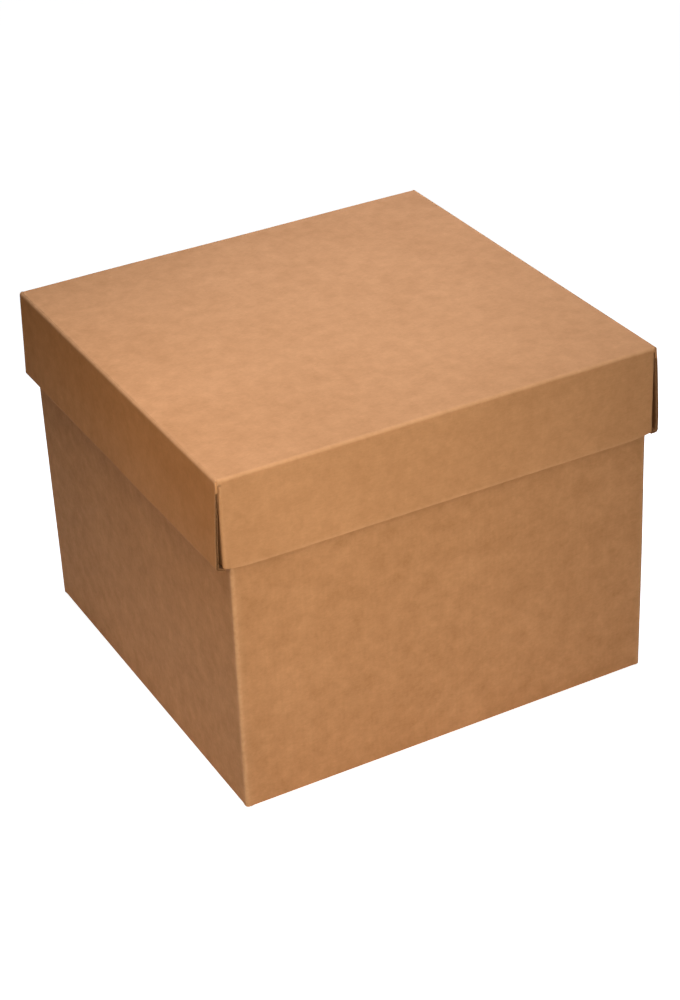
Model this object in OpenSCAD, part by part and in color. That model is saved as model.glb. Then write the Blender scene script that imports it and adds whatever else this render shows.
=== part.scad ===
// Cardboard box in two pieces: a square tube base with a locking bottom, and a lift-off lid.
// Each piece is folded from one flat blank of thin corrugated board.
// X runs along the front wall, Y from front to back, Z up. The origin is the centre of the foot.

/* [Board] */
// Thickness of the corrugated board
board = 1.5; // [1.2:0.1:1.8]
// Outer radius of every fold
fold_r = 2.2; // [2:0.1:2.6]
// Air between two layers of board that lie on each other
layer_gap = 0.1; // [0.1:0.05:0.2]

/* [Base] */
// Outer width of the base, along the front wall
base_w = 290; // [240:5:400]
// Outer length of the base, from front to back
base_l = 288; // [240:2:400]
// Height of the base, from the foot to the rim
base_h = 233; // [120:1:320]
// Width of the glued lap inside the back wall
lap_w = 32; // [20:1:45]
// Slant cut off the lap at its top and bottom
lap_slant = 9; // [4:1:14]
// Distance that the back wall's raw edge stays short of the corner
raw_edge = 0.8; // [0.4:0.2:1.4]

/* [Bottom flaps] */
// Width of the slot between two flaps at a corner
corner_slot = 3.5; // [3:0.5:6]
// Height of the slot's end above the foot
slot_end = 1; // [0.6:0.2:1.8]
// Length by which the walls' raw feet overlap the folds beside a slot
slot_lap = 0.5; // [0.3:0.1:1]
// Bevel at the front flap's corners
front_bevel = 9; // [6:1:12]
// Reach of a side flap, in from its wall
side_reach = 84; // [70:1:92]
// Length of the slanted stretch that lifts a flap by one layer
flap_step = 7; // [5:0.5:9]
// Distance that the back flap reaches past the middle of the base
back_past = 6; // [2:1:12]
// Width of the tongue on the front flap
tongue_w = 104; // [80:2:110]
// Length of the tongue that lies on the back flap
tongue_grip = 28; // [20:1:36]
// Play around the tongue
tongue_play = 2; // [1:0.5:4]
// Play between the flaps' edges and the slanted stretches of their neighbours
flap_play = 2; // [1:0.5:4]

/* [Lid] */
// Depth of the lid, from its top to its hem
lid_h = 60.6; // [40:0.1:90]
// Play between the base and the lid's lined end walls
end_play = 0.3; // [0.3:0.1:1]
// Play between the base and the lid's front and back walls
side_play = 1.1; // [0.6:0.1:3]
// Distance that the end walls spring out at the hem
spring_out = 2.8; // [0:0.1:4]
// Distance that an end wall's cut edge stays behind the front wall's face
end_short = 1; // [0.6:0.1:1.4]
// Distance that the end wall's lining stays clear of the front and back walls
lining_short = 0.8; // [0.5:0.1:2]
// Bevel at the lining's upper corners
lining_bevel = 7; // [3:1:12]
// Length of the tabs that the end walls hold
tab_l = 62; // [40:1:80]
// Bevel at the tabs' free corners
tab_bevel = 9; // [4:1:14]
// Play between a tab and the folds above and below it
tab_play = 1; // [0.5:0.1:2]
// Height by which the front and back walls' lower corners are cut up
corner_rise = 2; // [1:0.1:3]
// Length of that rising stretch
rise_run = 18; // [12:1:26]

/* [Hidden] */
$fn = 48;
kraft = [0.76, 0.58, 0.41];
kraft_lid = [0.80, 0.62, 0.45];
// Straight stretches shorter than this are left out of a section
hair = 0.001;
// Radius of a fold at the middle of the board
bend_r = fold_r - board / 2;
// Rise from one layer of board to the next
layer = board + layer_gap;
// Half sizes to the outer faces of the base and of the lid
base_x = base_w / 2;
base_y = base_l / 2;
lid_x = base_x + end_play + 3 * board + 2 * layer_gap;
lid_y = base_y + side_play + board;
// Levels of the lid
top_z = base_h + board;
hem_z = top_z - lid_h;
// Half lengths of the end walls and of their lining
end_half = lid_y - end_short;
lining_half = lid_y - board - lining_short;
// Face of the tabs, and the underside of the stretch that holds the top fold
tab_x = lid_x - board - layer_gap;
tab_top = top_z - fold_r - tab_play;
// Edges of the flat top, where its folds start
plate_x = lid_x - fold_r;
plate_y = lid_y - fold_r;
// Stretches of one sheet that are drawn apart run into each other by this length
run_on = 3;
// First slanted stretch of a flap starts this far in from the wall's face
step_start = fold_r + 0.5;
// Distance in from the wall's face at which a flap lies on layer n
function lifted(n) = step_start + n * flap_step;
// Half lengths of the folds between the flaps and their walls
hinge_x = base_x - corner_slot;
hinge_y = base_y - corner_slot;
// Half width of the front and back flaps, which clear the side flaps' slanted stretches
front_half = base_x - lifted(1) - flap_play;
// Corners of a side flap, clear of the front flap's bevel and of the back flap's slanted stretch
side_front = base_y - fold_r - front_bevel - flap_play;
side_back = base_y - lifted(2) - flap_play;
tongue_half = tongue_w / 2;
// The tongue climbs over three layers through the gap in front of the notch
climb_start = base_y - flap_play;
climb_end = climb_start + 4 * flap_step;
notch_edge = climb_end + tongue_play;

// Does the stretch from point a to point b run mostly along the section's first axis?
function runs_flat(a, b) = abs(b[0] - a[0]) > abs(b[1] - a[1]);
// Unit step along the main axis of that stretch
function unit_step(a, b) =
    runs_flat(a, b) ? [sign(b[0] - a[0]), 0] : [0, sign(b[1] - a[1])];
// Is corner i of a line a fold, where the sheet turns from one axis to the other?
function is_fold(path, i) =
    i > 0 && i < len(path) - 1
    && runs_flat(path[i - 1], path[i]) != runs_flat(path[i], path[i + 1]);

// Quarter turn of the board at a corner, entered along one step and left along the other
module fold_section(corner, enter, leave) {
    centre = corner + bend_r * (leave - enter);
    far = centre + fold_r * (enter - leave);
    low = [min(centre[0], far[0]), min(centre[1], far[1])];
    intersection() {
        translate(centre)
            difference() {
                circle(r = fold_r);
                circle(r = fold_r - board);
            }
        translate(low)
            square(fold_r);
    }
}

// Section of a sheet that is folded along a line of points at the middle of the board
module sheet_section(path) {
    for (i = [0 : len(path) - 2]) {
        step = unit_step(path[i], path[i + 1]);
        from = path[i] + (is_fold(path, i) ? bend_r * step : [0, 0]);
        to = path[i + 1] - (is_fold(path, i + 1) ? bend_r * step : [0, 0]);
        half = runs_flat(path[i], path[i + 1]) ? [0, board / 2] : [board / 2, 0];
        if (norm(to - from) > hair)
            polygon([from - half, to - half, to + half, from + half]);
        if (is_fold(path, i + 1))
            fold_section(path[i + 1], step, unit_step(path[i + 1], path[i + 2]));
    }
}

// Extrudes a section drawn in X and Z along Y, centred
module along_y(length) {
    rotate([90, 0, 0])
        linear_extrude(height = length, center = true)
            children();
}

// Extrudes a section drawn in Y and Z along X, centred
module along_x(length) {
    rotate([90, 0, 90])
        linear_extrude(height = length, center = true)
            children();
}

// Copies a piece to the mirrored side of an axis
module both_sides(axis) {
    children();
    mirror(axis)
        children();
}

// Line of the base's walls: raw edge of the back wall, round the box, and the lap inside the back wall
function wall_line() =
    let (x = base_x - board / 2, y = base_y - board / 2)
    [
        [base_x - raw_edge, y],
        [-x, y],
        [-x, -y],
        [x, -y],
        [x, y - board],
        [base_x - lap_w, y - board],
    ];

// Corner areas between the flaps, where the walls reach down to the slots
module corner_areas() {
    for (sx = [-1, 1], sy = [-1, 1])
        translate([sx * base_x, sy * base_y])
            square(2 * (corner_slot + slot_lap), center = true);
}

// Wedges that slant the lap at its top and bottom
module lap_slants() {
    inner = base_x - lap_w;
    low = fold_r + 2 * layer;
    for (z = [[low, 1], [base_h, -1]])
        translate([0, base_y - 1.5 * board, 0])
            along_y(board)
                polygon([
                    [inner - 1, z[0] + z[1] * lap_slant],
                    [base_x - board, z[0]],
                    [base_x - board, z[0] - z[1] * (low + 1)],
                    [inner - 1, z[0] - z[1] * (low + 1)],
                ]);
}

module walls() {
    difference() {
        translate([0, 0, fold_r])
            linear_extrude(height = base_h - fold_r)
                sheet_section(wall_line());
        lap_slants();
    }
    translate([0, 0, slot_end])
        linear_extrude(height = fold_r + run_on - slot_end)
            intersection() {
                sheet_section([for (p = [0 : 3]) wall_line()[p], [base_x - board / 2, base_y - board / 2]]);
                corner_areas();
            }
}

// Section of a flap from the foot of its wall inwards, drawn from the wall's outer face at 0
function flap_line(level, rest) =
    concat(
        [[board / 2, fold_r + run_on], [board / 2, board / 2]],
        level == 0 ? [] : [[step_start, board / 2], [lifted(level), board / 2 + level * layer]],
        rest
    );

// Both sides of an outline that is given from its wall inwards, on one side of the middle
function whole_outline(side) =
    concat(side, [for (i = [len(side) - 1 : -1 : 0]) [side[i][0], -side[i][1]]]);

// A flap of the wall that faces -X: its section, cut to its outline in plan
module flap(line, length, outline) {
    intersection() {
        along_y(length)
            sheet_section(line);
        translate([0, 0, -1])
            linear_extrude(height = 8 * layer)
                polygon(outline);
    }
}

// Front flap with the tongue, the first layer from below
module front_flap() {
    reach = climb_end + tongue_grip;
    rest = board / 2 + 3 * layer;
    translate([0, -base_y, 0])
        rotate(90)
            flap(
                flap_line(0, [[climb_start, board / 2], [climb_end, rest], [reach, rest]]),
                base_w,
                whole_outline([
                    [0, hinge_x],
                    [fold_r, hinge_x],
                    [fold_r + front_bevel, front_half],
                    [climb_start - front_bevel, front_half],
                    [climb_start, front_half - front_bevel],
                    [climb_start, tongue_half],
                    [reach - front_bevel, tongue_half],
                    [reach, tongue_half - front_bevel],
                ])
            );
}

// Flap of the end wall that faces -X, the second layer, slanted away from the tongue
module side_flap() {
    translate([-base_x, 0, 0])
        flap(
            flap_line(1, [[side_reach, board / 2 + layer]]),
            base_l,
            [
                [0, -hinge_y],
                [fold_r, -hinge_y],
                [lifted(1), -side_front],
                [side_reach, side_reach - lifted(1) - side_front],
                [side_reach, side_back - side_reach / 2],
                [side_reach / 2, side_back],
                [lifted(1), side_back],
                [fold_r, hinge_y],
                [0, hinge_y],
            ]
        );
}

// Back flap with the notch that the tongue holds, the third layer
module back_flap() {
    reach = base_y + back_past;
    notch = base_l - notch_edge;
    notch_half = tongue_half + tongue_play;
    translate([0, base_y, 0])
        rotate(-90)
            flap(
                flap_line(2, [[reach, board / 2 + 2 * layer]]),
                base_w,
                whole_outline([
                    [0, hinge_x],
                    [fold_r, hinge_x],
                    [lifted(2), front_half],
                    [reach - front_bevel, front_half],
                    [reach, front_half - front_bevel],
                    [reach, notch_half],
                    [notch, notch_half],
                ])
            );
}

module base() {
    color(kraft) {
        walls();
        front_flap();
        both_sides([1, 0, 0])
            side_flap();
        back_flap();
    }
}

// Line of one end of the lid: down the outside, round the hem and up as the lining
function end_line() =
    let (
        outside = lid_x - board / 2,
        inside = base_x + end_play + board / 2,
        low = hem_z + board / 2,
        high = top_z - board / 2
    )
    [
        [outside, high],
        [outside + spring_out, low],
        [inside, low],
        [inside, base_h - layer_gap],
    ];

// Line of the whole strip: lining, hem and end wall, the top, and the same again
function strip_line() =
    let (side = end_line())
    concat([for (i = [len(side) - 1 : -1 : 0]) [-side[i][0], side[i][1]]], side);

// What is cut off the lining and the inner half of the hem, seen along X
module lining_cut() {
    past = end_half + 1;
    low = hem_z - 1;
    polygon([
        [lining_half - lining_bevel, base_h],
        [lining_half, base_h - lining_bevel],
        [lining_half, low],
        [past, low],
        [past, base_h],
    ]);
}

// The top with its two end walls, which are double over a rolled hem
module top_and_ends() {
    difference() {
        along_y(2 * end_half)
            sheet_section(strip_line());
        both_sides([0, 1, 0]) {
            // Where the folds of the front and back walls take over from the flat top
            translate([-plate_x, plate_y, base_h - board])
                cube([2 * plate_x, 2 * fold_r, 3 * board]);
            both_sides([1, 0, 0])
                translate([base_x, 0, 0])
                    rotate([90, 0, 90])
                        linear_extrude(height = end_play + fold_r)
                            lining_cut();
        }
    }
}

// Half of the front wall's lower edge, out to a corner: a smooth rise over the last stretch
function rising_edge(steps) =
    [for (i = [0 : steps])
        let (t = i / steps)
        [tab_x - rise_run * (1 - t), hem_z + corner_rise * (1 - cos(90 * t))]];

// Outline of the front wall
module wall_outline() {
    rise = rising_edge(6);
    high = top_z - fold_r;
    polygon(concat(
        [[-tab_x, high], [tab_x, high]],
        [for (i = [len(rise) - 1 : -1 : 0]) rise[i]],
        [for (p = rise) [-p[0], p[1]]]
    ));
}

// Outline of a tab, from the front wall's face at 0
module tab_outline() {
    low = hem_z + board + tab_play;
    polygon([
        [fold_r, tab_top],
        [fold_r, low],
        [tab_l - tab_bevel, low],
        [tab_l, low + tab_bevel],
        [tab_l, tab_top - tab_bevel],
        [tab_l - tab_bevel, tab_top],
    ]);
}

// Front wall and the two tabs at its ends, which lie inside the end walls
module front_wall() {
    x = tab_x - board / 2;
    y = lid_y - board / 2;
    intersection() {
        translate([0, 0, hem_z])
            linear_extrude(height = lid_h - fold_r)
                sheet_section([[-x, tab_l - lid_y], [-x, -y], [x, -y], [x, tab_l - lid_y]]);
        translate([0, -lid_y, 0]) {
            along_y(2 * fold_r)
                wall_outline();
            along_x(2 * lid_x)
                tab_outline();
        }
    }
}

// Fold between the top and the front wall, which reaches the given length in from the wall's face
module top_fold(length, reach) {
    translate([0, -lid_y, 0])
        along_x(length)
            sheet_section([
                [board / 2, tab_top],
                [board / 2, top_z - board / 2],
                [reach, top_z - board / 2],
            ]);
}

module lid() {
    color(kraft_lid) {
        top_and_ends();
        both_sides([0, 1, 0]) {
            front_wall();
            top_fold(2 * tab_x, fold_r);
            top_fold(2 * plate_x, fold_r + run_on);
        }
    }
}

base();
lid();
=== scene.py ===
"""Lidded box of kraft corrugated board: the folded base, the lift-off lid, and their stage."""

import math

import bmesh
import bpy
from mathutils import Matrix, Vector, noise

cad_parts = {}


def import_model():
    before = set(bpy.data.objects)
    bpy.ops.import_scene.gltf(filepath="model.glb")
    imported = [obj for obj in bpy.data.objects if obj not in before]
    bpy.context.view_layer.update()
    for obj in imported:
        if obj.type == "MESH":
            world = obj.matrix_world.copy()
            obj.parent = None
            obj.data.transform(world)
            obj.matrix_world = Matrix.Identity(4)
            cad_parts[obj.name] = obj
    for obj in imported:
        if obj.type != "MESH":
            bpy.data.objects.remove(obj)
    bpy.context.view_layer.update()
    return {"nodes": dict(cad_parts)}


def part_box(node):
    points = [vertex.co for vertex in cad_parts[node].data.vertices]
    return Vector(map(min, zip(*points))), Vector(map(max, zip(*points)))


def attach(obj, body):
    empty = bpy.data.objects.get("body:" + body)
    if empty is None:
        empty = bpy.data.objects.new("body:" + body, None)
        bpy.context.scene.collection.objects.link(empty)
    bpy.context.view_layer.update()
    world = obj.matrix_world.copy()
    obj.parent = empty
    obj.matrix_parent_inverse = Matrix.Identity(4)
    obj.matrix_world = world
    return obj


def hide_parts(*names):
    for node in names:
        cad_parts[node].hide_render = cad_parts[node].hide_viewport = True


bl_info = {
    "name": "Lidded kraft box",
    "version": (1, 0, 0),
    "blender": (4, 5, 0),
    "location": "View3D > Sidebar > Kraft Box",
    "description": "Dresses a folded box and its lid in corrugated kraft board and sets its stage",
    "category": "Object",
}

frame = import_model()

MM = 0.001

# Places on the box, taken from the frame
BASE_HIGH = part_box("base")[1]
LID_LOW, LID_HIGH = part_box("lid")
RIM_Z = BASE_HIGH.z
TOP_Z = LID_HIGH.z
HEM_Z = LID_LOW.z
# Half width of the lid's flat top over its folds, which its end walls lean out from
TOP_X = BASE_HIGH.x + 5 * MM
# Faces of the tabs' folds, and the cut ends of the end walls and of their linings
TAB_X = TOP_X - 1.6 * MM
END_Y = LID_HIGH.y - 1 * MM
LINING_Y = LID_HIGH.y - 2.3 * MM
# Above this the flutes of the end walls are crushed shut by the fold
SHUT_Z = TOP_Z - 8 * MM
# Middle of the lining's board
LINING_X = BASE_HIGH.x + 1.05 * MM
# Middle of the end wall's board just above the hem
WALL_FOOT_X = LID_HIGH.x - 0.75 * MM
# Where the closed corner of the base's rim starts
LAP_CORNER = (BASE_HIGH.x - 4 * MM, BASE_HIGH.y - 5 * MM)
# Half sizes and height of the space that holds the bottom flaps' cut edges
FLAPS_X = BASE_HIGH.x - 4 * MM
FLAPS_Y = BASE_HIGH.y - 5 * MM
FLAPS_Z = 9 * MM

# Materials of a board: its outer paper, its cut edges, its inner side, and painted shade on the paper
# inside the hollow of a double wall
FACE, RAW, INNER, PAINTED_HOLLOW_SHADE = 0, 1, 2, 3

# Steps in which the quarter round of each fold is cut
FOLD_STEPS = 12
# Gap between the cuts that let a flat face sag
GRID = 9.7 * MM
# Distances in from a fold at which a face is cut once more, for its wear
FOLD_CUTS = (0.9 * MM, 3 * MM)
HEM_CUTS = (0.9 * MM, 1.8 * MM, 3.2 * MM)
# Points closer than this are one, and faces thinner than this are taken out
MERGE = 0.002 * MM
THIN = 0.0005 * MM
# How close a place lies to a face, or to an edge, that it counts as being on it
ON_FACE = 0.05 * MM
ON_EDGE = 0.02 * MM
# How far the folds of a node's mesh may lie from their true radii
FOLD_SLACK = 0.12 * MM
# Least share of a normal along an axis, for a face that stands square to it and for one that faces it
SQUARE = 0.99
FACING = 0.9
# Depth of the cut edges of the bottom flaps
FLAP_RECESS = 0.5 * MM

# Hills in the faces once the board has given a little: height, size and seed of each
TOP_HILLS = ((0.22 * MM, 85 * MM, 3.7), (0.20 * MM, 210 * MM, 8.1))
LID_FRONT_HILLS = ((0.20 * MM, 70 * MM, 21), (0.24 * MM, 190 * MM, 5))
LID_END_ROLLS = ((0.40 * MM, 110 * MM, 31),)
LID_END_HILLS = ((0.20 * MM, 50 * MM, 11),)
BASE_FRONT_HILLS = ((0.35 * MM, 160 * MM, 41), (0.12 * MM, 60 * MM, 17))
BASE_END_HILLS = ((0.35 * MM, 160 * MM, 51), (0.12 * MM, 60 * MM, 13))
# How far the lid's top sags, and its walls bow in, midway between hills and hollows
TOP_SAG = 0.22 * MM
LID_FRONT_BOW = 0.16 * MM
LID_END_BOW = 0.35 * MM
# How far the front half of the right end wall bulges out
RIGHT_BULGE = 0.55 * MM
# How far the base's near left corner leans in under the lid, and how far along the walls that reaches
CORNER_LEAN = 1.4 * MM
LEAN_REACH = 70 * MM
# Near left corner of the lid: its cut ends stand back low down and come forward under the fold
NEAR_BACK = 1.3 * MM
NEAR_FORWARD = 0.8 * MM
NEAR_REACH = 26 * MM
# Share of the cut ends' way back that the lining goes with them
LINING_SHARE = 0.6

# Widths of the rubbed paper, which also carries a painted highlight: on the lid's top folds, on its
# corners and low edges, on its hem and the base's foot, and on the base's upright folds
TOP_RUB_AND_HIGHLIGHT = 1.6 * MM
SIDE_RUB_AND_HIGHLIGHT = 1.5 * MM
HEM_RUB_AND_HIGHLIGHT = 1.3 * MM
BASE_RUB_AND_HIGHLIGHT = 2.6 * MM
# Strengths of the rubbed paper and its painted highlight on the lid's low edges and on the base's
# upright folds
LOW_EDGE_WEAR_AND_HIGHLIGHT = 0.45
BASE_WEAR_AND_HIGHLIGHT = 1.3
# Painted warm light, making the paper redder and darker: what the lid's end walls lose of it towards
# the hem, and the base's share of it
WARM_LIGHT_LOSS = 0.35
BASE_WARM_LIGHT = 0.25

# Points on each flute, and steps along a round or rising stretch
FLUTE_POINTS = 8
ARC_STEPS = 8
EDGE_STEPS = 6
# Share of the flutes' depth that the wavy paper fills, and how far it stays behind the edge
FLUTE_FILL = 0.96
FLUTE_BACK = 0.12 * MM
# Length and height of the rising stretch at each end of the lid's low edges
RISE_RUN = 18 * MM
RISE = 2 * MM


# Sizes and colours


class KraftSizes(bpy.types.PropertyGroup):
    """Sizes of the corrugated board"""

    board: bpy.props.FloatProperty(
        name="Board", description="Thickness of the board", default=1.5 * MM, unit="LENGTH"
    )
    liner: bpy.props.FloatProperty(
        name="Liner", description="Thickness of each flat paper", default=0.24 * MM, unit="LENGTH"
    )
    paper: bpy.props.FloatProperty(
        name="Fluted paper", description="Thickness of the wavy paper", default=0.17 * MM, unit="LENGTH"
    )
    pitch: bpy.props.FloatProperty(
        name="Flute pitch",
        description="Distance from one flute to the next",
        default=3.2 * MM,
        unit="LENGTH",
    )
    depth: bpy.props.FloatProperty(
        name="Flute depth",
        description="Depth to which the open flutes are made",
        default=3.0 * MM,
        unit="LENGTH",
    )
    fold: bpy.props.FloatProperty(
        name="Fold", description="Outer radius of the folds", default=2.2 * MM, unit="LENGTH"
    )


class KraftColours(bpy.types.PropertyGroup):
    """Colours of the papers"""

    lid: bpy.props.FloatVectorProperty(
        name="Lid",
        description="Face of the lid's board",
        default=(0.588, 0.280, 0.122),
        subtype="COLOR",
        min=0,
        max=1,
    )
    base: bpy.props.FloatVectorProperty(
        name="Base",
        description="Face of the base's board",
        default=(0.545, 0.255, 0.109),
        subtype="COLOR",
        min=0,
        max=1,
    )
    # Paler paper on the folds, rubbed and partly a painted highlight
    worn_and_highlight: bpy.props.FloatVectorProperty(
        name="Worn",
        description="Stretched and rubbed paper on the folds",
        default=(0.70, 0.375, 0.185),
        subtype="COLOR",
        min=0,
        max=1,
    )
    inner: bpy.props.FloatVectorProperty(
        name="Inner paper",
        description="Duller paper on the inner side of the board",
        default=(0.46, 0.22, 0.095),
        subtype="COLOR",
        min=0,
        max=1,
    )
    # Near-black painted shade on the paper inside the lid's double end walls, which shows through the
    # gaps at its corners
    painted_hollow_shade: bpy.props.FloatVectorProperty(
        name="Hollow",
        description="Paper inside the lid's double end walls",
        default=(0.19, 0.085, 0.035),
        subtype="COLOR",
        min=0,
        max=1,
    )
    raw: bpy.props.FloatVectorProperty(
        name="Raw edge",
        description="Cut edges and the wavy paper",
        default=(0.38, 0.18, 0.076),
        subtype="COLOR",
        min=0,
        max=1,
    )


class KraftStage(bpy.types.PropertyGroup):
    """Light and ground"""

    floor: bpy.props.FloatVectorProperty(
        name="Floor",
        description="Colour of the floor",
        default=(0.90, 0.90, 0.90),
        subtype="COLOR",
        min=0,
        max=1,
    )
    glow: bpy.props.FloatProperty(
        name="White ground",
        description="Light that the camera sees on the floor beside the box",
        default=0.80,
        min=0,
        max=1,
    )


def sizes():
    """Sizes of the board, as the panel has them."""
    return bpy.context.scene.kraft_sizes


def colours():
    """Colours of the papers, as the panel has them."""
    return bpy.context.scene.kraft_colours


# Board meshes


def node_board(node):
    """A merged copy of a node's mesh, with the triangles of each flat face joined."""
    bm = bmesh.new()
    bm.from_mesh(frame["nodes"][node].data)
    bmesh.ops.remove_doubles(bm, verts=bm.verts, dist=MERGE)
    bmesh.ops.dissolve_limit(
        bm, angle_limit=math.radians(0.3), verts=bm.verts, edges=bm.edges, delimit=set()
    )
    return bm


def fold_place(co, fold):
    """Distances of a point from a fold's axis, towards the fold's two outer faces."""
    axis, centre, out = fold
    i, j = (n for n in range(3) if n != axis)
    return (co[i] - centre[0]) * out[0], (co[j] - centre[1]) * out[1]


def in_fold(co, fold):
    """Whether a point lies on the round of a fold."""
    p, q = fold_place(co, fold)
    outer = sizes().fold
    inner = outer - sizes().board
    return min(p, q) > -ON_EDGE and inner - FOLD_SLACK < math.hypot(p, q) < outer + FOLD_SLACK


def round_fold(bm, fold):
    """Cuts a fold into narrow steps and sets them on its true radii."""
    axis, centre, out = fold
    i, j = (n for n in range(3) if n != axis)
    spot = Vector((0, 0, 0))
    spot[i], spot[j] = centre
    for step in range(1, FOLD_STEPS):
        turn = step / FOLD_STEPS * math.pi / 2
        across = Vector((0, 0, 0))
        across[i], across[j] = -math.sin(turn) * out[0], math.cos(turn) * out[1]
        faces = [f for f in bm.faces if all(in_fold(v.co, fold) for v in f.verts)]
        geom = {*faces, *(e for f in faces for e in f.edges), *(v for f in faces for v in f.verts)}
        bmesh.ops.bisect_plane(bm, geom=list(geom), dist=MERGE / 2, plane_co=spot, plane_no=across)
    outer = sizes().fold
    inner = outer - sizes().board
    for vert in bm.verts:
        if in_fold(vert.co, fold):
            p, q = fold_place(vert.co, fold)
            far = math.hypot(p, q)
            true = min((inner, outer), key=lambda r: abs(r - far))
            if abs(true - far) < FOLD_SLACK:
                vert.co[i] = centre[0] + (vert.co[i] - centre[0]) * true / far
                vert.co[j] = centre[1] + (vert.co[j] - centre[1]) * true / far


def recess(bm, test, depth):
    """Sinks the cut edges that pass a test between their two flat papers."""
    faces = [f for f in bm.faces if test(f.calc_center_median(), f.normal)]
    if not faces:
        raise RuntimeError("no cut edge was found to sink")
    rims = bmesh.ops.inset_region(
        bm, faces=faces, thickness=sizes().liner, depth=0, use_even_offset=True, use_boundary=True
    )["faces"]
    walls = bmesh.ops.inset_region(
        bm, faces=faces, thickness=0, depth=-depth, use_even_offset=True, use_boundary=True
    )["faces"]
    for face in [*rims, *walls, *faces]:
        face.material_index = RAW


def cut_grid(bm, axis, places):
    """Cuts the whole mesh at places along an axis."""
    across = Vector((0, 0, 0))
    across[axis] = 1
    for place in places:
        geom = [*bm.verts, *bm.edges, *bm.faces]
        bmesh.ops.bisect_plane(bm, geom=geom, dist=MERGE, plane_co=across * place, plane_no=across)


def both(*places):
    """The same places on both sides of the middle."""
    return [side * place for place in places for side in (-1, 1)]


def steps(low, high, gap=GRID):
    """Even places between two limits, about a gap apart."""
    count = max(1, round((high - low) / gap))
    return [low + (high - low) * n / count for n in range(1, count)]


def before(edge):
    """Places shortly before a fold's edge."""
    return [edge - cut for cut in FOLD_CUTS]


def smooth(low, high, value):
    """Soft step from 0 at the first limit to 1 at the second, which may be the smaller one."""
    t = min(1.0, max(0.0, (value - low) / (high - low)))
    return t * t * (3 - 2 * t)


def hills(u, v, rows, side=1):
    """Height of smooth hills at a place on a face; each side of the box has its own."""
    return sum(
        height * noise.noise(Vector((u / size, v / size, seed * side))) for height, size, seed in rows
    )


def top_sag(x, y):
    """How far the lid's top lies under its highest level."""
    return TOP_SAG + hills(x, y, TOP_HILLS)


def near_end_shift(x, y, z):
    """How far the cut ends at the lid's near left corner move back from the corner."""
    if x > 0 or y > 0:
        return 0.0
    drop = TOP_Z - z
    rise = z - HEM_Z
    end = smooth(NEAR_REACH, 3 * MM, y + LID_HIGH.y)
    back = NEAR_BACK * smooth(12 * MM, 45 * MM, drop)
    if -x > TAB_X + ON_FACE:
        forward = NEAR_FORWARD * smooth(14 * MM, 8 * MM, drop) * smooth(1 * MM, 4 * MM, drop)
        return (back - forward) * end
    in_lining = abs(-x - LINING_X) < sizes().board / 2 + ON_FACE
    in_hem = -x > LINING_X and rise < 3 * MM
    if (in_lining or in_hem) and y > -LINING_Y - 0.3 * MM:
        return LINING_SHARE * back * end * smooth(14 * MM, 3 * MM, rise)
    return 0.0


def end_wall_shift(x, y, z):
    """How far a point of the lid's end walls moves outwards, or inwards where it is less than 0."""
    side = math.copysign(1, x)
    outer = smooth(TAB_X, TOP_X + 0.8 * MM, abs(x))
    if side > 0 and y < 0:
        height = smooth(2 * MM, 14 * MM, TOP_Z - z) * smooth(2 * MM, 14 * MM, z - HEM_Z)
        return RIGHT_BULGE * height * outer * smooth(0, -LID_HIGH.y / 2, y)
    bow = LID_END_BOW + hills(y, 0, LID_END_ROLLS, side) + hills(y, z, LID_END_HILLS, side)
    return -max(0.0, bow) * smooth(TOP_Z, HEM_Z, z) * outer


def settle_lid(co):
    """Place of a point of the lid once its board has given a little."""
    x, y, z = co
    new = Vector(co)
    new.z -= top_sag(x, y) * (1 - 0.8 * smooth(TOP_Z, HEM_Z, z))
    if abs(y) > LINING_Y:
        side = math.copysign(1, y)
        bow = LID_FRONT_BOW + hills(x, z, LID_FRONT_HILLS, side)
        flare = 1 - 0.9 * smooth(HEM_Z + sizes().fold, HEM_Z, z)
        new.y -= side * max(0.0, bow) * flare
    new.y += near_end_shift(x, y, z)
    if abs(x) > LINING_X - 1 * MM:
        new.x += math.copysign(1, x) * end_wall_shift(x, y, z)
    new.x = min(max(new.x, LID_LOW.x), LID_HIGH.x)
    new.y = min(max(new.y, LID_LOW.y), LID_HIGH.y)
    return new


def settle_base(co):
    """Place of a point of the base once its board has given a little."""
    x, y, z = co
    new = Vector(co)
    new.z -= (top_sag(x, y) + ON_EDGE) * smooth(RIM_Z - 30 * MM, RIM_Z, z)
    free = smooth(0, 12 * MM, z) * smooth(HEM_Z + 40 * MM, HEM_Z - 30 * MM, z)
    if abs(y) > BASE_HIGH.y - 4 * MM:
        side = math.copysign(1, y)
        new.y += side * free * hills(x, z, BASE_FRONT_HILLS, side)
    if abs(x) > BASE_HIGH.x - 4 * MM:
        side = math.copysign(1, x)
        new.x += side * free * hills(y, z, BASE_END_HILLS, side)
    if x < 0 and y < 0:
        corner = smooth(LEAN_REACH, 0, x + BASE_HIGH.x) * smooth(LEAN_REACH, 0, y + BASE_HIGH.y)
        new.x += CORNER_LEAN * corner * smooth(0, HEM_Z, z) * smooth(RIM_Z, HEM_Z, z)
    return new


def near(distance, width):
    """1 at no distance, fading to nothing a few widths away."""
    return math.exp(-((distance / width) ** 2))


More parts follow.
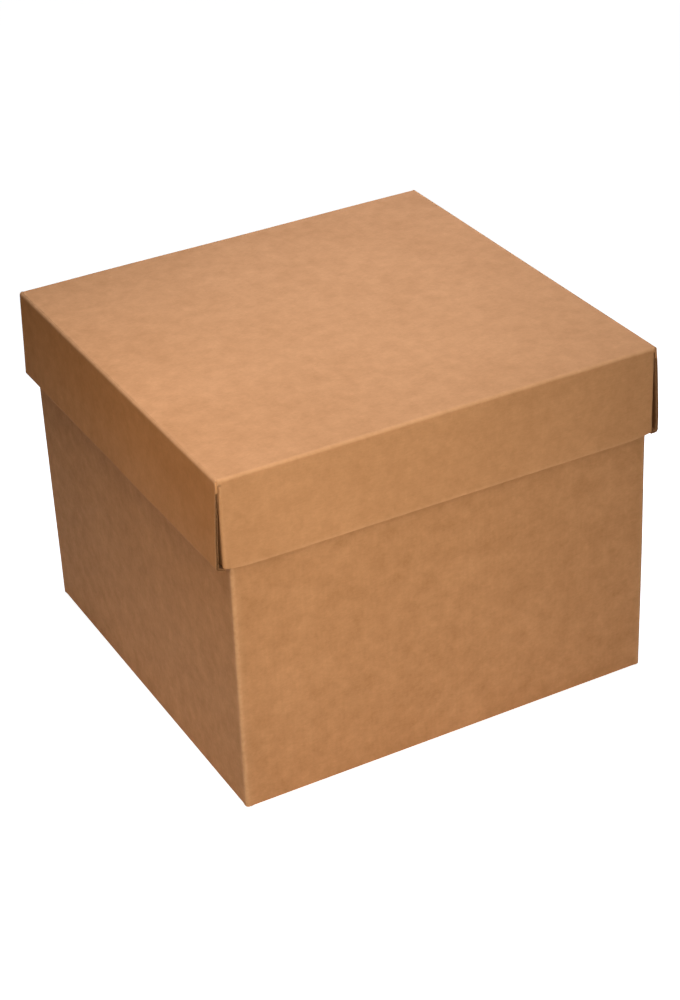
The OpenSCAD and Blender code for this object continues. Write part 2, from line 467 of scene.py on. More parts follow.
def lid_wear_and_highlight(co):
    """Rubbed paper at the lid's folds and at its lower edges, partly a painted highlight, from 0 to 1.
    """
    x, y, z = abs(co[0]), abs(co[1]), co[2]
    drop = TOP_Z - z
    wear = 0.0
    if drop < 12 * MM or x > TAB_X - 4 * MM:
        wear = max(wear, near(max(LID_HIGH.y - y, 0) + drop, TOP_RUB_AND_HIGHLIGHT))
        wear = max(wear, near(max(TOP_X - x, 0) + drop, TOP_RUB_AND_HIGHLIGHT) if drop < 5 * MM else 0)
    if y > LID_HIGH.y - 3 * MM:
        wear = max(wear, near(max(TAB_X - x, 0) + LID_HIGH.y - y, SIDE_RUB_AND_HIGHLIGHT))
    if y > LID_HIGH.y - 1 * MM:
        wear = max(wear, LOW_EDGE_WEAR_AND_HIGHLIGHT * near(z - HEM_Z, SIDE_RUB_AND_HIGHLIGHT))
    if x > TOP_X:
        wear = max(wear, near(z - HEM_Z, HEM_RUB_AND_HIGHLIGHT))
    return wear


def base_wear_and_highlight(co):
    """Rubbed paper at the base's folds, partly a painted highlight: 0 for none, and all of it from 1
    on.
    """
    x, y, z = abs(co[0]), abs(co[1]), co[2]
    wear = BASE_WEAR_AND_HIGHLIGHT * near(BASE_HIGH.x - x + BASE_HIGH.y - y, BASE_RUB_AND_HIGHLIGHT)
    rest = min(BASE_HIGH.x - x, BASE_HIGH.y - y)
    return max(wear, near(rest + z, HEM_RUB_AND_HIGHLIGHT) if rest < 3 * MM else 0)


def lid_warm_light(co):
    """Painted warm light on the lid's end walls, their paper redder and darker, most at their top, from
    0 to 1.
    """
    less = WARM_LIGHT_LOSS * smooth(TOP_Z - 12 * MM, HEM_Z, co[2])
    on_end = smooth(TAB_X - 2 * MM, TOP_X, abs(co[0])) * smooth(TOP_Z, TOP_Z - 3 * MM, co[2])
    return (1 - less) * on_end


def base_warm_light(co):
    """Painted warm light on the upper part of the base's end walls, their paper redder and darker, from
    0 to 1.
    """
    on_end = smooth(BASE_HIGH.x - 3 * MM, BASE_HIGH.x - 1 * MM, abs(co[0]))
    return BASE_WARM_LIGHT * on_end * smooth(60 * MM, HEM_Z, co[2])


def lid_flute_place(co, normal):
    """Place on the lid's board: across its flutes and along them."""
    if abs(normal.x) > 0.5:
        return co.z, co.y
    return (co.x, co.y if abs(normal.z) > 0.5 else co.z)


def base_flute_place(co, normal):
    """Place on the base's board: across its flutes and along them."""
    if abs(normal.x) > 0.5:
        return co.y, co.z
    if abs(normal.y) > 0.5:
        return co.x, co.z
    in_side_flap = BASE_HIGH.x - abs(co.x) < BASE_HIGH.y - abs(co.y)
    return (co.y, co.x) if in_side_flap else (co.x, co.y)


def lid_side(place, normal):
    """Which side of its board a face of the lid lies on, with painted shade for the faces inside the
    double end walls.
    """
    x, y, z = abs(place.x), abs(place.y), place.z
    out_x = normal.x * math.copysign(1, place.x)
    out_y = normal.y * math.copysign(1, place.y)
    board = sizes().board
    # Faces inside the end walls' hollow, and the lining's face towards it, take the painted shade
    if x > TAB_X + ON_EDGE and z < TOP_Z - board:
        in_hem = z < HEM_Z + sizes().fold + ON_FACE and normal.z > 0.3
        return PAINTED_HOLLOW_SHADE if out_x < -0.3 or in_hem else FACE
    if abs(x - LINING_X - board / 2) < ON_FACE and y < LINING_Y and out_x > FACING:
        return PAINTED_HOLLOW_SHADE
    under = normal.z < -FACING and z > TOP_Z - board - ON_FACE
    behind = out_y < -FACING and y > LID_HIGH.y - board - ON_FACE
    in_tab = out_x < -FACING and abs(x - TAB_X + board) < ON_FACE
    return INNER if under or behind or in_tab else FACE


def base_side(place, normal):
    """Which side of its board a face of the base lies on."""
    x, y = abs(place.x), abs(place.y)
    if place.z < FLAPS_Z:
        return INNER if normal.z > FACING else FACE
    out_x = normal.x * math.copysign(1, place.x)
    out_y = normal.y * math.copysign(1, place.y)
    deep = sizes().board + ON_FACE
    end = out_x < -FACING and x > BASE_HIGH.x - deep
    front = out_y < -FACING and y > BASE_HIGH.y - 2 * deep
    return INNER if end or front else FACE


def lid_folds():
    """The lid's folds, each with its axis, its centre and the way to its outer faces."""
    r = sizes().fold
    y = LID_HIGH.y - r
    z = TOP_Z - r
    lining_face = LINING_X - sizes().board / 2
    folds = []
    for s in (-1, 1):
        folds.append((0, (s * y, z), (s, 1)))
        folds.append((1, (s * (TOP_X - r), z), (s, 1)))
        folds.append((1, (s * (LID_HIGH.x - r), HEM_Z + r), (s, -1)))
        folds.append((1, (s * (lining_face + r), HEM_Z + r), (-s, -1)))
        for t in (-1, 1):
            folds.append((2, (s * (TAB_X - r), t * y), (s, t)))
    return folds


def base_folds():
    """The base's folds, each with its axis, its centre and the way to its outer faces."""
    r = sizes().fold
    x, y = BASE_HIGH.x - r, BASE_HIGH.y - r
    folds = [(2, (-x, -y), (-1, -1)), (2, (x, -y), (1, -1)), (2, (-x, y), (-1, 1))]
    folds.append((2, (x, y - sizes().board), (1, 1)))
    for s in (-1, 1):
        folds.append((0, (s * y, r), (s, -1)))
        folds.append((1, (s * x, r), (s, -1)))
    return folds


def lid_wall_end(place, normal):
    """Whether a face is the cut end of one of the lid's end walls, below its crushed flutes."""
    return abs(normal.y) > SQUARE and abs(abs(place.y) - END_Y) < ON_FACE and place.z < SHUT_Z


def lid_lining_end(place, normal):
    """Whether a face is the cut end of one of the lid's linings."""
    return abs(normal.y) > SQUARE and abs(abs(place.y) - LINING_Y) < ON_FACE and abs(place.x) < TAB_X


def lid_low_edge(place, normal):
    """Whether a face is the lower cut edge of the lid's front or back wall."""
    in_wall = abs(place.y) > LID_HIGH.y - 1.6 * MM and abs(place.x) < TAB_X - sizes().fold
    return normal.z < -0.8 and in_wall and place.z < HEM_Z + 3 * MM


def base_rim(place, normal):
    """Whether a face is the base's upper cut edge, apart from its closed corner over the lap."""
    open_rim = place.x < LAP_CORNER[0] or place.y < LAP_CORNER[1]
    return normal.z > SQUARE and abs(place.z - RIM_Z) < ON_FACE and open_rim


def flap_edge(place, normal):
    """Whether a face is a cut edge of one of the bottom flaps."""
    inside = abs(place.x) < FLAPS_X and abs(place.y) < FLAPS_Y
    return abs(normal.z) < 0.3 and place.z < FLAPS_Z and inside


def finish_board(bm, name, node, settle, attributes, flute_place, side_of, materials):
    """Turns a cut board into its finished piece."""
    bm.normal_update()
    for face in bm.faces:
        if face.material_index == FACE:
            face.material_index = side_of(face.calc_center_median(), face.normal)
    bmesh.ops.dissolve_degenerate(bm, dist=THIN, edges=bm.edges)
    bmesh.ops.triangulate(bm, faces=[f for f in bm.faces if len(f.verts) > 4])
    bmesh.ops.dissolve_degenerate(bm, dist=THIN, edges=bm.edges)
    bm.normal_update()
    layer = bm.loops.layers.uv.new("board")
    for face in bm.faces:
        normal = face.normal.copy()
        for loop in face.loops:
            loop[layer].uv = flute_place(loop.vert.co, normal)
    # A new layer makes the handles of earlier ones stale, so all are added before the first is filled
    for label in attributes:
        bm.verts.layers.float.new(label)
    for label, value_at in attributes.items():
        values = bm.verts.layers.float[label]
        for vert in bm.verts:
            vert[values] = value_at(vert.co)
    for vert in bm.verts:
        vert.co = settle(vert.co)
    mesh = bpy.data.meshes.new(name)
    bm.to_mesh(mesh)
    bm.free()
    mesh.shade_smooth()
    mesh.set_sharp_from_angle(angle=math.radians(32))
    for material in materials:
        mesh.materials.append(material)
    piece = bpy.data.objects.new(name, mesh)
    bpy.context.scene.collection.objects.link(piece)
    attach(piece, node)
    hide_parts(node)


def make_lid_board():
    """The lid: its rounded folds, sunk cut edges and sagging faces."""
    bm = node_board("lid")
    for fold in lid_folds():
        round_fold(bm, fold)
    bm.normal_update()
    cut_grid(bm, 2, [SHUT_Z])
    for test in (lid_wall_end, lid_lining_end, lid_low_edge):
        recess(bm, test, sizes().depth)
    r = sizes().fold
    cut_grid(bm, 0, [*steps(-TOP_X, TOP_X), *both(*before(TOP_X - r), *before(TAB_X - r))])
    cut_grid(bm, 1, [*steps(-LID_HIGH.y, LID_HIGH.y), *both(*before(LID_HIGH.y - r))])
    cut_grid(bm, 2, [*steps(HEM_Z, TOP_Z), *(HEM_Z + cut for cut in HEM_CUTS), *before(TOP_Z - r)])
    bmesh.ops.remove_doubles(bm, verts=bm.verts, dist=2 * MERGE)
    finish_board(
        bm,
        name="lid_board",
        node="lid",
        settle=settle_lid,
        attributes={"wear": lid_wear_and_highlight, "painted_warm_light": lid_warm_light},
        flute_place=lid_flute_place,
        side_of=lid_side,
        materials=(
            kraft_face("lid kraft", colours().lid, LID_PAPER),
            raw_kraft(),
            kraft_face("lid inside", colours().inner, LID_PAPER),
            # Painted shade inside the double end walls
            kraft_face("lid hollow", colours().painted_hollow_shade, LID_PAPER),
        ),
    )


def make_base_board():
    """The base: its rounded folds, sunk cut edges, bottom flaps and bowing walls."""
    bm = node_board("base")
    for fold in base_folds():
        round_fold(bm, fold)
    # The rim's corner over the lap stays closed, because two edges meet there at no angle
    cut_grid(bm, 0, [LAP_CORNER[0]])
    cut_grid(bm, 1, [LAP_CORNER[1]])
    bm.normal_update()
    recess(bm, base_rim, sizes().depth)
    recess(bm, flap_edge, FLAP_RECESS)
    r = sizes().fold
    cut_grid(bm, 0, [*steps(-BASE_HIGH.x, BASE_HIGH.x), *both(*before(BASE_HIGH.x - r))])
    cut_grid(bm, 1, [*steps(-BASE_HIGH.y, BASE_HIGH.y), *both(*before(BASE_HIGH.y - r))])
    cut_grid(bm, 2, [*steps(0, RIM_Z), *(r + cut for cut in FOLD_CUTS)])
    finish_board(
        bm,
        name="base_board",
        node="base",
        settle=settle_base,
        attributes={"wear": base_wear_and_highlight, "painted_warm_light": base_warm_light},
        flute_place=base_flute_place,
        side_of=base_side,
        materials=(
            kraft_face("base kraft", colours().base, BASE_PAPER),
            raw_kraft(),
            kraft_face("base inside", colours().inner, BASE_PAPER),
        ),
    )


# Wavy paper in the cut edges


def flute_tree():
    """Geometry nodes that lay a wavy strip of paper along each line of a mesh."""
    tree = bpy.data.node_groups.new("fluted paper", "GeometryNodeTree")
    new = tree.interface.new_socket
    new("Lines", in_out="INPUT", socket_type="NodeSocketGeometry")
    for name in ("Pitch", "Swing", "Depth", "Paper"):
        new(name, in_out="INPUT", socket_type="NodeSocketFloat").subtype = "DISTANCE"
    new("Material", in_out="INPUT", socket_type="NodeSocketMaterial")
    new("Paper strip", in_out="OUTPUT", socket_type="NodeSocketGeometry")

    def add(kind, **values):
        node = tree.nodes.new(kind)
        for name, value in values.items():
            setattr(node, name, value)
        return node

    join = tree.links.new
    given = add("NodeGroupInput").outputs
    line = add("GeometryNodeMeshToCurve")
    join(given["Lines"], line.inputs["Mesh"])
    step = add("ShaderNodeMath", operation="DIVIDE")
    join(given["Pitch"], step.inputs[0])
    step.inputs[1].default_value = FLUTE_POINTS
    fine = add("GeometryNodeResampleCurve", mode="LENGTH")
    join(line.outputs["Curve"], fine.inputs["Curve"])
    join(step.outputs[0], fine.inputs["Length"])
    # Sideways swing, across the board
    along = add("GeometryNodeSplineParameter")
    turns = add("ShaderNodeMath", operation="DIVIDE")
    join(along.outputs["Length"], turns.inputs[0])
    join(given["Pitch"], turns.inputs[1])
    angle = add("ShaderNodeMath", operation="MULTIPLY")
    join(turns.outputs[0], angle.inputs[0])
    angle.inputs[1].default_value = math.tau
    sine = add("ShaderNodeMath", operation="SINE")
    join(angle.outputs[0], sine.inputs[0])
    reach = add("ShaderNodeMath", operation="MULTIPLY")
    join(sine.outputs[0], reach.inputs[0])
    join(given["Swing"], reach.inputs[1])
    inward = add("GeometryNodeInputNamedAttribute", data_type="FLOAT_VECTOR")
    inward.inputs["Name"].default_value = "inward"
    side = add("ShaderNodeVectorMath", operation="CROSS_PRODUCT")
    join(add("GeometryNodeInputTangent").outputs[0], side.inputs[0])
    join(inward.outputs["Attribute"], side.inputs[1])
    shift = add("ShaderNodeVectorMath", operation="SCALE")
    join(side.outputs["Vector"], shift.inputs[0])
    join(reach.outputs[0], shift.inputs["Scale"])
    moved = add("GeometryNodeSetPosition")
    join(fine.outputs["Curve"], moved.inputs["Geometry"])
    join(shift.outputs["Vector"], moved.inputs["Offset"])
    # Strip that stands into the board
    turned = add("GeometryNodeSetCurveNormal", mode="FREE")
    join(moved.outputs["Geometry"], turned.inputs["Curve"])
    join(inward.outputs["Attribute"], turned.inputs["Normal"])
    section = add("GeometryNodeCurvePrimitiveQuadrilateral", mode="RECTANGLE")
    join(given["Depth"], section.inputs["Width"])
    join(given["Paper"], section.inputs["Height"])
    strip = add("GeometryNodeCurveToMesh")
    join(turned.outputs["Curve"], strip.inputs["Curve"])
    join(section.outputs["Curve"], strip.inputs["Profile Curve"])
    strip.inputs["Fill Caps"].default_value = True
    whole = add("GeometryNodeRealizeInstances")
    join(strip.outputs["Mesh"], whole.inputs["Geometry"])
    dressed = add("GeometryNodeSetMaterial")
    join(whole.outputs["Geometry"], dressed.inputs["Geometry"])
    join(given["Material"], dressed.inputs["Material"])
    join(dressed.outputs["Geometry"], add("NodeGroupOutput").inputs["Paper strip"])
    return tree


def line_points(corners, gap=GRID):
    """A line through corners, with points no further apart than a gap."""
    points = [Vector(corners[0])]
    for a, b in zip(corners, corners[1:]):
        a, b = Vector(a), Vector(b)
        count = max(1, math.ceil((b - a).length / gap))
        points += [a.lerp(b, n / count) for n in range(1, count + 1)]
    return points


def arc(centre, radius, start, end):
    """Points of a circle in two coordinates, by its angles in degrees."""
    out = []
    for n in range(ARC_STEPS + 1):
        turn = math.radians(start + (end - start) * n / ARC_STEPS)
        out.append((centre[0] + radius * math.cos(turn), centre[1] + radius * math.sin(turn)))
    return out


def make_flutes(name, body, lines, settle):
    """Wavy paper along cut edges; each line is its corners and the way into the board."""
    verts, edges, inward = [], [], []
    depth = sizes().depth * FLUTE_FILL
    for corners, into in lines:
        into = Vector(into).normalized()
        points = line_points(corners)
        first = len(verts)
        verts += [settle(p) + into * (depth / 2 + FLUTE_BACK) for p in points]
        inward += [into] * len(points)
        edges += [(n, n + 1) for n in range(first, len(verts) - 1)]
    mesh = bpy.data.meshes.new(name)
    mesh.from_pydata(verts, edges, [])
    ways = mesh.attributes.new("inward", "FLOAT_VECTOR", "POINT")
    ways.data.foreach_set("vector", [part for way in inward for part in way])
    piece = bpy.data.objects.new(name, mesh)
    bpy.context.scene.collection.objects.link(piece)
    tree = bpy.data.node_groups.get("fluted paper") or flute_tree()
    modifier = piece.modifiers.new("flutes", "NODES")
    modifier.node_group = tree
    paper = sizes().paper
    values = {
        "Pitch": sizes().pitch,
        # The strip's waves stay a tenth of its thickness clear of the flat papers
        "Swing": sizes().board / 2 - sizes().liner - paper * 0.6,
        "Depth": depth,
        "Paper": paper,
        "Material": raw_kraft(),
    }
    for item in tree.interface.items_tree:
        if item.name in values:
            modifier[item.identifier] = values[item.name]
    waved = piece.evaluated_get(bpy.context.evaluated_depsgraph_get())
    made = bpy.data.meshes.new_from_object(waved)
    piece.modifiers.clear()
    piece.data = made
    bpy.data.meshes.remove(mesh)
    made.name = name
    made.shade_smooth()
    made.set_sharp_from_angle(angle=math.radians(50))
    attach(piece, body)


def lid_flute_lines():
    """Lines of the flutes in the lid's end walls, linings and low edges."""
    half = sizes().board / 2
    r = sizes().fold - half
    # The end wall leans out, so its middle lies this far out where its open flutes start
    shut = (TOP_Z - SHUT_Z) / (TOP_Z - HEM_Z)
    wall_top = (TOP_X - half + (WALL_FOOT_X - TOP_X + half) * shut, SHUT_Z - 0.3 * MM)
    hem = arc((WALL_FOOT_X - r, HEM_Z + half + r), r, 0, -90)
    turn = arc((LINING_X + r, HEM_Z + half + r), r, -95, -180)
    lining = [*turn, (LINING_X, RIM_Z - 8 * MM)]
    lines = []
    for s in (-1, 1):
        for t in (-1, 1):
            lines.append(([(s * x, t * END_Y, z) for x, z in (wall_top, *hem)], (0, -t, 0)))
            lines.append(([(s * x, t * LINING_Y, z) for x, z in lining], (0, -t, 0)))
        y = s * (LID_HIGH.y - half)
        rise = [
            (TAB_X - RISE_RUN * (1 - n), HEM_Z + RISE * (1 - math.cos(math.pi / 2 * n)))
            for n in (step / EDGE_STEPS for step in range(EDGE_STEPS))
        ]
        edge = [*((-x, y, z) for x, z in reversed(rise)), *((x, y, z) for x, z in rise)]
        lines.append((edge, (0, 0, 1)))
    return lines


def base_flute_lines():
    """Line of the flutes in the base's rim, from the lap's corner round to it again."""
    half = sizes().board / 2
    r = sizes().fold - half
    x, y = BASE_HIGH.x - half, BASE_HIGH.y - half
    rim = [
        (LAP_CORNER[0] - 0.3 * MM, y),
        *arc((-x + r, y - r), r, 90, 180),
        *arc((-x + r, -y + r), r, 180, 270),
        *arc((x - r, -y + r), r, -90, 0),
        (x, LAP_CORNER[1] - 0.3 * MM),
    ]
    return [([(px, py, RIM_Z) for px, py in rim], (0, 0, -1))]


# Materials

# Strengths of the paper's clouds and of the painted shading of its flute ridges
LID_PAPER = (0.118, 0.004)
BASE_PAPER = (0.16, 0.010)
# Scales of the paper's broad and small clouds, of its specks, and of its fibres on the board
BROAD_SCALE = 14
CLOUD_SCALE = 95
SPECK_SCALE = 620
FIBRE_SCALE = (260, 900, 1)
# Shares of the clouds in red, green and blue: lighter places are a little paler too
CLOUD_SHARES = (0.85, 1.0, 1.3)
SPECK = (0.20, 0.09, 0.035, 1)
# What paper under the painted warm light keeps of each colour
WARM_LIGHT_TINT = (0.93, 0.79, 0.57, 1)
# Height of the ridges over the flutes, and of the fibres, in millimetres
RIDGE_HEIGHT = 0.008
FIBRE_HEIGHT = 0.03


class Shade:
    """Small helper that adds nodes to a tree and joins them."""

    def __init__(self, tree):
        self.tree = tree

    def add(self, kind, **values):
        """Adds a node and sets its own values."""
        node = self.tree.nodes.new(kind)
        for name, value in values.items():
            setattr(node, name, value)
        return node

    def put(self, node, **values):
        """Sets inputs by name, or i0 and i1 by number, from values or from other nodes' outputs."""
        for name, value in values.items():
            key = int(name[1:]) if name[0] == "i" and name[1:].isdigit() else name.replace("_", " ")
            if isinstance(value, bpy.types.NodeSocket):
                self.tree.links.new(value, node.inputs[key])
            else:
                node.inputs[key].default_value = value
        return node

    def math(self, operation, a, b=0.0):
        """Result of a sum or the like on one or two values."""
        return self.put(self.add("ShaderNodeMath", operation=operation), i0=a, i1=b).outputs[0]

    def span(self, value, low, high, out_low, out_high):
        """Carries a value from one range to another and stops at its limits."""
        node = self.add("ShaderNodeMapRange")
        self.put(node, Value=value, From_Min=low, From_Max=high, To_Min=out_low, To_Max=out_high)
        return node.outputs["Result"]

    def noise(self, vector, scale, detail=2.0, rough=0.5):
        """Soft noise from 0 to 1 at a place."""
        node = self.add("ShaderNodeTexNoise")
        self.put(node, Vector=vector, Scale=scale, Detail=detail, Roughness=rough)
        return node.outputs["Fac"]

    def scaled(self, vector, by):
        """A vector stretched along each of its axes."""
        node = self.add("ShaderNodeVectorMath", operation="MULTIPLY")
        return self.put(node, i0=vector, i1=by).outputs["Vector"]

    def colour(self, red, green, blue):
        """A colour from its three shares."""
        node = self.add("ShaderNodeCombineColor")
        return self.put(node, Red=red, Green=green, Blue=blue).outputs[0]

    def mix(self, factor, a, b, blend="MIX"):
        """Two colours blended by a factor."""
        node = self.add("ShaderNodeMix", data_type="RGBA", blend_type=blend)
        self.put(node, Factor=factor)
        for socket, value in ((node.inputs[6], a), (node.inputs[7], b)):
            if isinstance(value, bpy.types.NodeSocket):
                self.tree.links.new(value, socket)
            else:
                socket.default_value = value
        return node.outputs[2]

    def seen(self):
        """1 for what the camera, a reflection or glass sees, and 0 for what lights the box."""
        rays = self.add("ShaderNodeLightPath").outputs
        mirrored = self.math("MAXIMUM", rays["Is Glossy Ray"], rays["Is Transmission Ray"])
        return self.math("MAXIMUM", rays["Is Camera Ray"], mirrored)


def effect_group(name, inputs, outputs):
    """An empty shader group with named sockets, and its helper."""
    tree = bpy.data.node_groups.new(name, "ShaderNodeTree")
    kinds = {"colour": "NodeSocketColor", "value": "NodeSocketFloat", "vector": "NodeSocketVector"}
    for way, sockets in (("INPUT", inputs), ("OUTPUT", outputs)):
        for label, kind in sockets:
            tree.interface.new_socket(label, in_out=way, socket_type=kinds[kind])
    shade = Shade(tree)
    return tree, shade, shade.add("NodeGroupInput").outputs, shade.add("NodeGroupOutput")


def paper_fibres():
    """Colour and relief of unbleached paper: clouds, fibres and a few dark specks."""
    name = "paper fibres"
    if name in bpy.data.node_groups:
        return bpy.data.node_groups[name]
    tree, shade, given, out = effect_group(
        name,
        (
            ("Place", "vector"),
            ("Board place", "vector"),
            ("Colour", "colour"),
            ("Clouds", "value"),
            ("Fibres", "value"),
            ("Specks", "value"),
        ),
        (("Colour", "colour"), ("Relief", "value")),
    )
    broad = shade.noise(given["Place"], BROAD_SCALE, 2)
    clouds = shade.noise(given["Place"], CLOUD_SCALE, 4, 0.72)
    fibres = shade.noise(shade.scaled(given["Board place"], FIBRE_SCALE), 1, 3, 0.65)
    specks = shade.noise(given["Place"], SPECK_SCALE, 2)
    level = shade.math("MULTIPLY", shade.span(broad, 0.2, 0.8, -0.5, 0.5), given["Clouds"])
    small = shade.math("MULTIPLY", shade.span(clouds, 0.25, 0.75, -1, 1), given["Clouds"])
    level = shade.math("ADD", level, small)
    thread = shade.math("MULTIPLY", shade.span(fibres, 0.25, 0.75, -1, 1), given["Fibres"])
    level = shade.math("ADD", level, thread)
    tint = [shade.math("ADD", shade.math("MULTIPLY", level, share), 1) for share in CLOUD_SHARES]
    toned = shade.mix(1.0, given["Colour"], shade.colour(*tint), "MULTIPLY")
    spot = shade.math("MULTIPLY", shade.span(specks, 0.68, 0.78, 0, 1), given["Specks"])
    toned = shade.mix(spot, toned, SPECK)
    shade.put(out, Colour=toned, Relief=fibres)
    return tree


def washboard():
    """Faint ridges that the flutes press through the paper, in millimetres of height; their pattern
    also sets the painted ridge shading.
    """
    name = "washboard"
    if name in bpy.data.node_groups:
        return bpy.data.node_groups[name]
    tree, shade, given, out = effect_group(
        name,
        (("Board place", "vector"), ("Place", "vector"), ("Pitch", "value"), ("Height", "value")),
        (("Height", "value"), ("Ridge", "value")),
    )
    across = shade.put(shade.add("ShaderNodeSeparateXYZ"), Vector=given["Board place"]).outputs["X"]
    turns = shade.math("MULTIPLY", shade.math("DIVIDE", across, given["Pitch"]), math.tau)
    uneven = shade.span(shade.noise(given["Place"], 22, 2), 0.3, 0.7, 0.35, 1.0)
    ridge = shade.math("MULTIPLY", shade.math("COSINE", turns), uneven)
    shade.put(out, Height=shade.math("MULTIPLY", ridge, given["Height"]), Ridge=ridge)
    return tree


def rubbed_folds_and_highlights():
    """Where worn paper shows on the folds, in patches, partly as a painted highlight."""
    name = "rubbed folds"
    if name in bpy.data.node_groups:
        return bpy.data.node_groups[name]
    tree, shade, given, out = effect_group(
        name,
        (("Place", "vector"), ("Wear", "value"), ("Strength", "value")),
        (("Mask", "value"),),
    )
    patches = shade.span(shade.noise(given["Place"], 320, 3, 0.6), 0.3, 0.65, 0.35, 1)
    worn_and_highlight = shade.math("MULTIPLY", given["Wear"], patches)
    shade.put(out, Mask=shade.math("MULTIPLY", worn_and_highlight, given["Strength"]))
    return tree


def group_node(shade, tree):
    """A node that uses a shader group."""
    node = shade.add("ShaderNodeGroup")
    node.node_tree = tree
    return node


def new_material(name):
    """An empty material, with its helper and its surface."""
    material = bpy.data.materials.new(name)
    material.use_nodes = True
    shade = Shade(material.node_tree)
    return material, shade, material.node_tree.nodes["Principled BSDF"]


def kraft_face(name, colour, strengths):
    """Kraft paper on the board's faces, paler where the folds are rubbed and where a highlight is
    painted on them, with painted warm light on the end walls and painted shading of the flute ridges.
    """
    clouds, ridge_shading = strengths
    material, shade, surface = new_material(name)
    place = shade.add("ShaderNodeTexCoord").outputs["Object"]
    board = shade.add("ShaderNodeUVMap", uv_map="board").outputs["UV"]
    paper = group_node(shade, paper_fibres())
    shade.put(paper, Place=place, Board_place=board, Colour=(*colour, 1))
    shade.put(paper, Clouds=clouds, Fibres=0.05, Specks=0.12)
    ridges = group_node(shade, washboard())
    shade.put(ridges, Board_place=board, Place=place, Pitch=sizes().pitch, Height=RIDGE_HEIGHT)
    # Painted shading of the flute ridges: paler on their tops, darker between them
    ridge_shade = shade.math("ADD", shade.math("MULTIPLY", ridges.outputs["Ridge"], ridge_shading), 1)
    tone = shade.mix(1.0, paper.outputs["Colour"], shade.colour(ridge_shade, ridge_shade, ridge_shade), "MULTIPLY")
    # Painted warm light: the end walls redder and darker, most near their top
    warm_light = shade.add("ShaderNodeAttribute", attribute_name="painted_warm_light").outputs["Fac"]
    tone = shade.mix(warm_light, tone, WARM_LIGHT_TINT, "MULTIPLY")
    # Rubbed paper on the folds, partly a painted highlight
    rubs_and_highlights = group_node(shade, rubbed_folds_and_highlights())
    wear = shade.add("ShaderNodeAttribute", attribute_name="wear").outputs["Fac"]
    shade.put(rubs_and_highlights, Place=place, Wear=wear, Strength=0.75)
    tone = shade.mix(rubs_and_highlights.outputs["Mask"], tone, (*colours().worn_and_highlight, 1))
    fibres = shade.math("MULTIPLY", paper.outputs["Relief"], FIBRE_HEIGHT)
    relief = shade.math("ADD", ridges.outputs["Height"], fibres)
    bump = shade.put(shade.add("ShaderNodeBump"), Height=relief, Distance=MM, Strength=1.0)
    shade.put(surface, Base_Color=tone, Normal=bump.outputs["Normal"], Specular_IOR_Level=0.12)
    shade.put(surface, Roughness=shade.span(paper.outputs["Relief"], 0.2, 0.8, 0.78, 0.92))
    return material


def raw_kraft():
    """Cut edges and the wavy paper between the flat ones."""
    name = "raw kraft"
    if name in bpy.data.materials:
        return bpy.data.materials[name]
    material, shade, surface = new_material(name)
    place = shade.add("ShaderNodeTexCoord").outputs["Object"]
    paper = group_node(shade, paper_fibres())
    shade.put(paper, Place=place, Board_place=place, Colour=(*colours().raw, 1))
    shade.put(paper, Clouds=0.04, Fibres=0.1, Specks=0.3)
    bump = shade.add("ShaderNodeBump")
    shade.put(bump, Height=paper.outputs["Relief"], Distance=0.06 * MM, Strength=1.0)
    shade.put(surface, Base_Color=paper.outputs["Colour"], Normal=bump.outputs["Normal"])
    shade.put(surface, Roughness=0.95, Specular_IOR_Level=0.05)
    return material


# Stage

LAMPS = {
    # name: place, aim, size, spread in degrees, watts, colour
    "key": ((-0.20, -0.75, 0.40), (-0.05, -0.14, 0.14), 0.25, 80, 0.57, (1.0, 0.991, 0.879)),
    "left": ((-0.55, -0.30, 0.45), (-0.15, -0.12, 0.17), 0.2, 70, 0.098, (1.0, 0.914, 0.833)),
    "overhead": ((0.0, 0.0, 1.1), (0, 0, 0.2), 0.45, 60, 0.79, (0.748, 0.839, 1.0)),
    "rear": ((0.45, 0.45, 0.6), (0, 0, 0.15), 0.3, 80, 0.460, (0.856, 0.882, 1.0)),
    "front": ((-0.15, -0.45, 1.0), (0, -0.05, 0.2), 0.5, 70, 0.326, (0.977, 1.0, 0.978)),
    "ground": ((-0.38, -0.05, 0.8), (-0.38, -0.05, 0.0), 0.25, 60, 0.215, (1.0, 0.934, 0.873)),
}
# Place of the camera, its way round the box, height and roll in degrees, and its lens in millimetres
CAMERA_PLACE = (-0.5964, -1.1635, 0.8768)
CAMERA_TURN = (-27.2644, 30.7030, -2.7909)
CAMERA_LENS = 82.868
# Half width of the floor, and how far it lies under the box
FLOOR_REACH = 9
FLOOR_DROP = 0.05 * MM
# Distances from the middle between which the floor's glow rises to full white
GLOW_RISE = (0.18, 0.34)
# Places by the box's outline between which the glow starts, hidden under the round of its lowest folds
GLOW_EDGE = (-2.0 * MM, -1.6 * MM)


def make_lamps():
    """Soft studio lamps round the box."""
    for name, (place, aim, size, spread, watts, colour) in LAMPS.items():
        data = bpy.data.lights.new(name, "AREA")
        data.shape = "DISK"
        data.size = size
        data.spread = math.radians(spread)
        data.energy = watts
        data.color = colour
        lamp = bpy.data.objects.new(name, data)
        bpy.context.scene.collection.objects.link(lamp)
        lamp.location = place
        lamp.rotation_euler = (Vector(aim) - Vector(place)).to_track_quat("-Z", "Y").to_euler()


def make_world():
    """A white world that is seen and reflected, and gives no light of its own."""
    world = bpy.data.worlds.new("studio")
    bpy.context.scene.world = world
    world.use_nodes = True
    shade = Shade(world.node_tree)
    ground = world.node_tree.nodes["Background"]
    shade.put(ground, Color=(1, 1, 1, 1), Strength=shade.seen())


